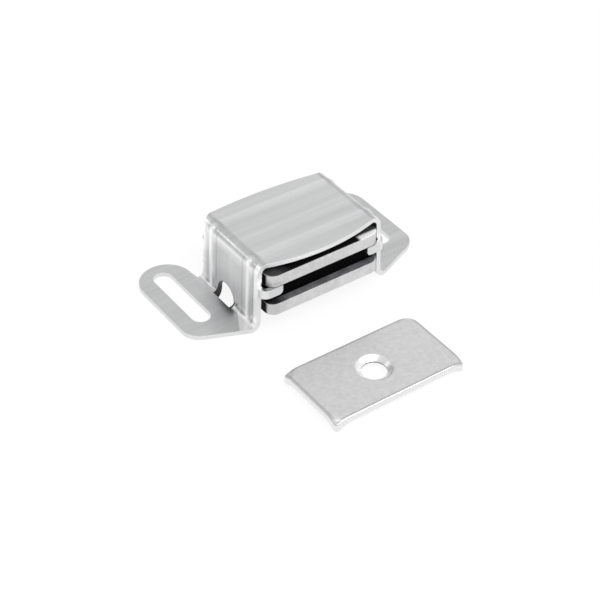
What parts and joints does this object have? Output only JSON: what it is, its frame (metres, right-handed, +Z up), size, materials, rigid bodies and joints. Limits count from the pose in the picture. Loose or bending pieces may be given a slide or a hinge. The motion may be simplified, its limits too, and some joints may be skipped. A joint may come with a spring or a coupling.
{
  "type": "magnetic catch",
  "caption": "Cabinet magnetic catch: folded aluminium case with slotted ears around a floating magnet between steel pole plates, with its separate countersunk strike plate.",
  "frame": {"origin": "midway between the two screw slots, on the surface that the catch is screwed to", "axes": "+X along the catch, +Y away from the working face, +Z up out of the mounting surface"},
  "size_m": [0.0564, 0.0613, 0.0161],
  "materials": {
    "aluminium": "brushed along the strip",
    "pole_steel": "bright zinc plated",
    "ferrite": "sintered and ground",
    "strike_steel": "barrel-tumbled, zinc plated"
  },
  "bodies": {
    "housing": {"case": "aluminium", "strike_plate": "strike_steel"},
    "magnet_pack": {"magnet": "ferrite", "upper_pole_plate": "pole_steel", "lower_pole_plate": "pole_steel"}
  },
  "joints": [
    {"name": "pack_float", "type": "slide", "parent": "housing", "child": "magnet_pack", "axis": [0, 1, 0], "range_m": [-0.0008, 0.0008]}
  ]
}
